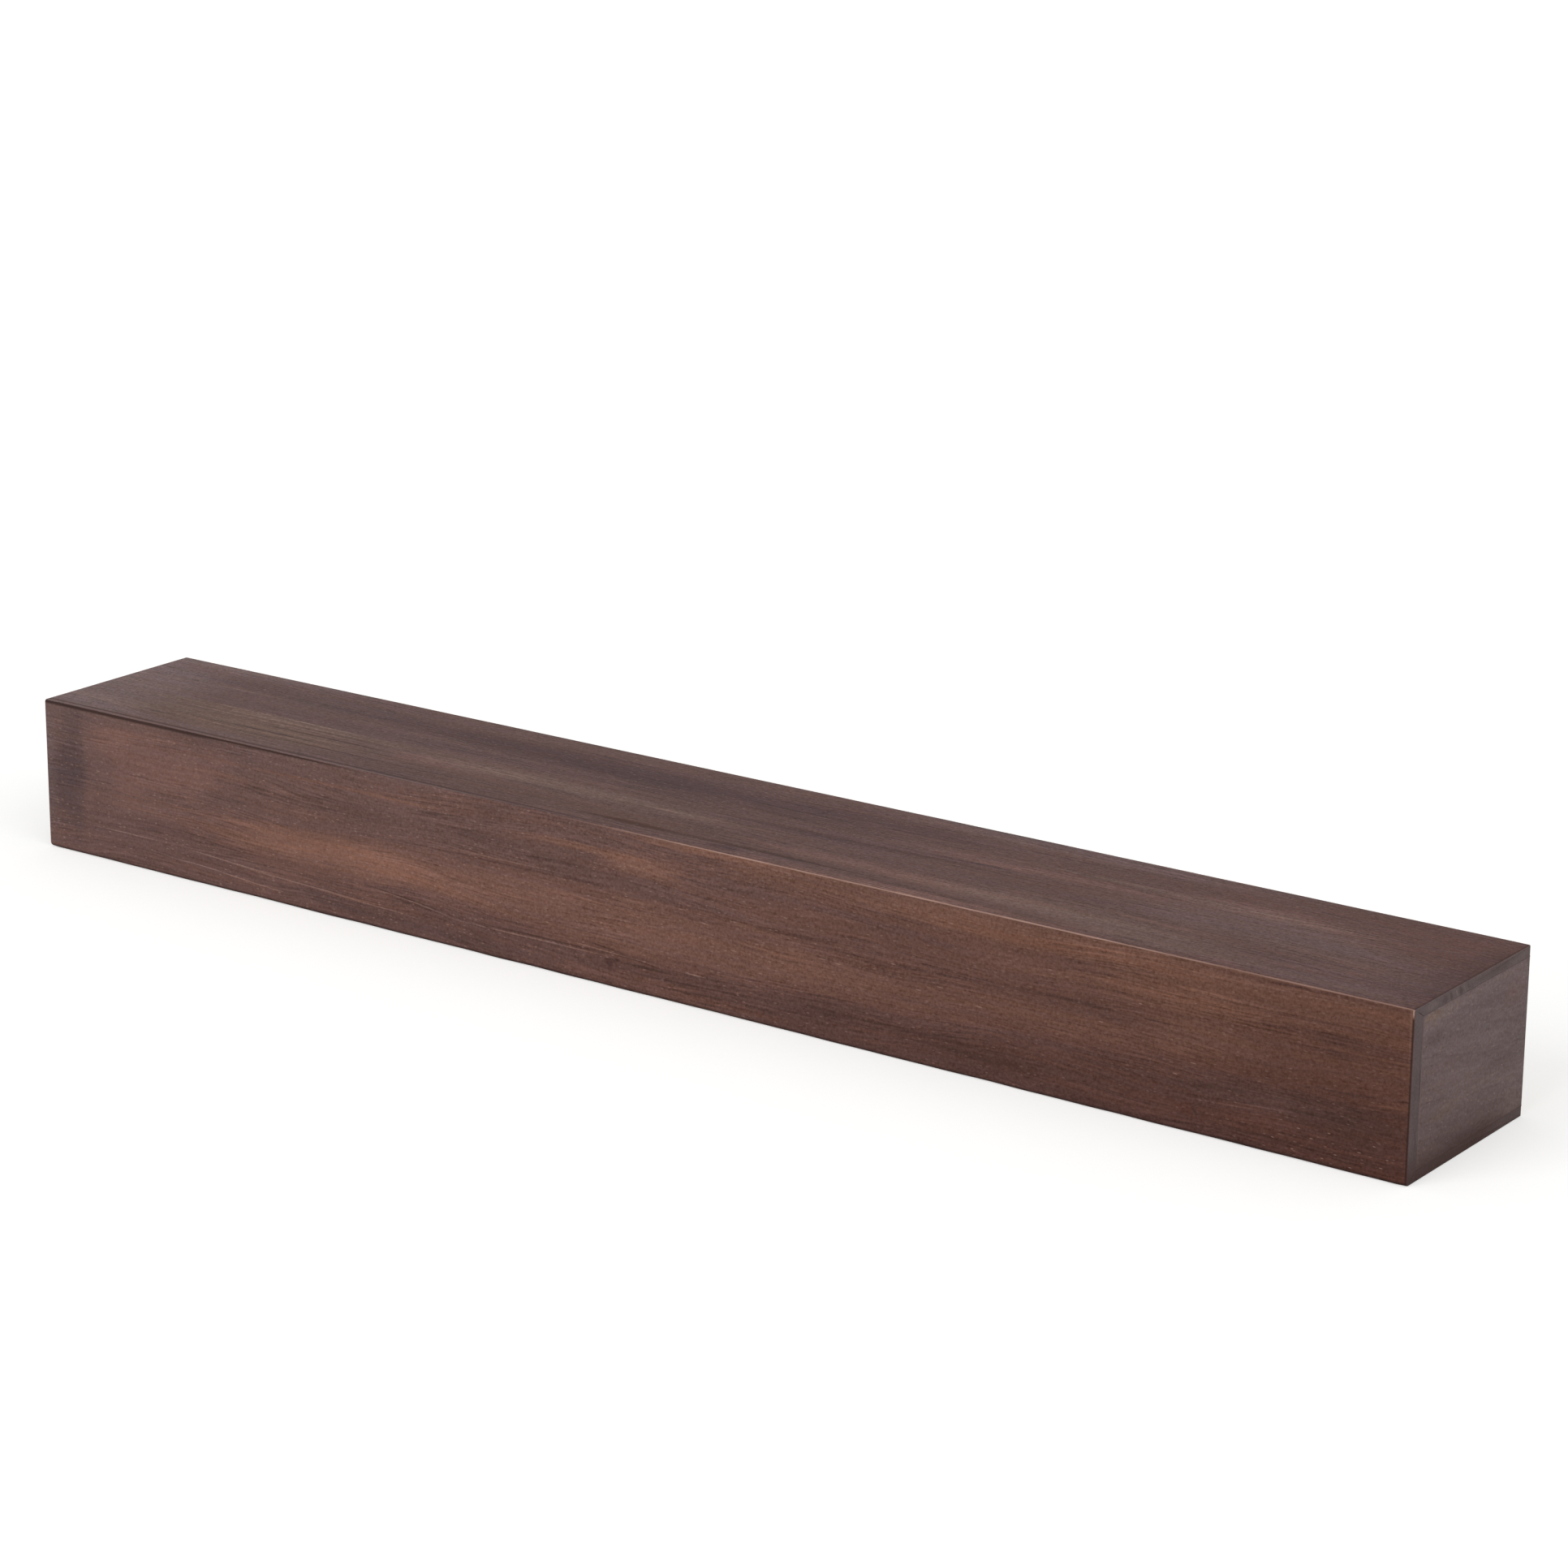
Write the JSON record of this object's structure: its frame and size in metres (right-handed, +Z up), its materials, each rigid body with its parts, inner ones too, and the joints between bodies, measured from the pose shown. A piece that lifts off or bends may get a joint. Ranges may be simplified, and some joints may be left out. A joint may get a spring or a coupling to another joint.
{
  "type": "floating wall shelf",
  "caption": "Hollow box-beam floating shelf of dark stained boards with mitred front corners that hooks over a bevelled wall cleat.",
  "frame": {"origin": "on the wall, at the middle of the line of wall screws (mid-length of the shelf)", "axes": "+X along the shelf, to the right for someone facing it; +Y into the wall; +Z up"},
  "size_m": [1.524, 0.2032, 0.1524],
  "materials": {
    "stained_wood": "dark walnut stain under a satin clear coat, fine straight grain",
    "raw_pine": "planed unfinished softwood",
    "dowel_beech": "unfinished hardwood dowel",
    "screw_steel": "zinc plated"
  },
  "bodies": {
    "wall_mount": {"wall_cleat": "raw_pine"},
    "shelf": {"top_board": "stained_wood", "bottom_board": "stained_wood", "front_board": "stained_wood", "end_panel_left": "stained_wood", "end_panel_right": "stained_wood", "hanging_cleat": "raw_pine", "lower_back_rail": "raw_pine", "rib_left": "raw_pine", "rib_centre": "raw_pine", "rib_right": "raw_pine", "corner_block_left": "raw_pine", "corner_block_right": "raw_pine", "glue_blocks_top_front": "raw_pine", "glue_blocks_bottom_front": "raw_pine", "glue_blocks_left_end": "raw_pine", "glue_blocks_right_end": "raw_pine", "rib_dowels": "dowel_beech", "end_dowels_left": "dowel_beech", "end_dowels_right": "dowel_beech", "hanging_cleat_screws": "screw_steel", "lower_rail_screws": "screw_steel", "corner_block_screws_left": "screw_steel", "corner_block_screws_right": "screw_steel"}
  },
  "joints": [
    {"name": "lift_off", "type": "slide", "parent": "wall_mount", "child": "shelf", "axis": [0, -0.7071, 0.7071], "range_m": [0, 0.03]}
  ]
}
